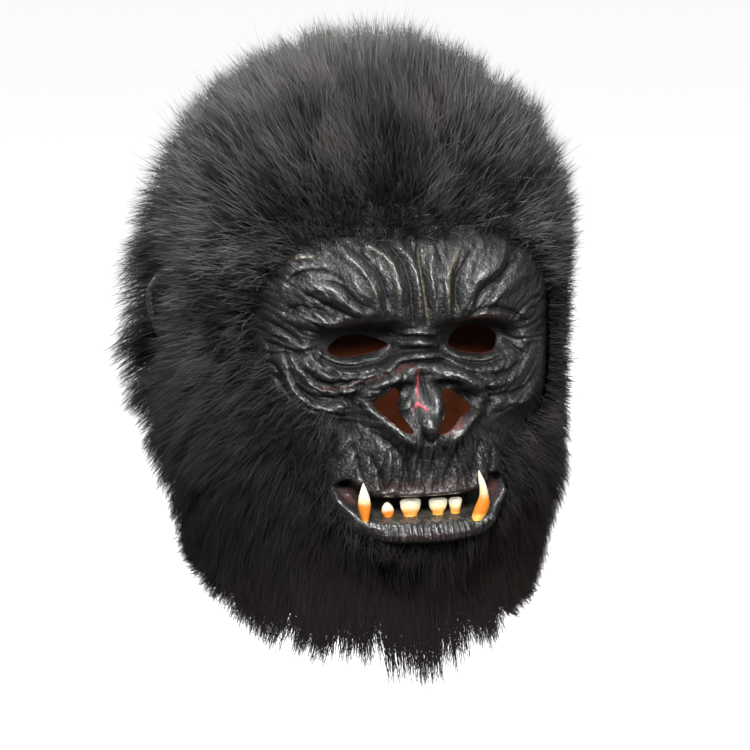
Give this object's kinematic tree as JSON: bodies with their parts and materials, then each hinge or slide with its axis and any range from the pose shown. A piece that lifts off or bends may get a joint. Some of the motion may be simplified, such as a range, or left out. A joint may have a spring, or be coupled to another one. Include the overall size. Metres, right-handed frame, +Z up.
{
  "type": "gorilla mask",
  "caption": "Gorilla mask for a whole head: a hollow latex casting with a wrinkled face, open eyes and nostrils, fangs and teeth on the lower lip, ears, and deep black fur all round.",
  "frame": {"origin": "the crown seat: the inside top of the latex, where the wearer's head touches it", "axes": "+Z up, the face looks along -Y, +X is the right as seen from the front"},
  "size_m": [0.2545, 0.2828, 0.3482],
  "materials": {
    "latex": "semi-gloss",
    "tooth": "gloss",
    "fur": "pile"
  },
  "bodies": {
    "root": {"latex_mask": "latex", "ear_left": "latex", "ear_right": "latex", "tooth_1": "tooth", "tooth_2": "tooth", "tooth_3": "tooth", "tooth_4": "tooth", "fang_left": "tooth", "fang_right": "tooth", "fur_crown": "fur", "fur_back": "fur", "fur_left": "fur", "fur_right": "fur", "fur_beard": "fur"}
  },
  "joints": []
}
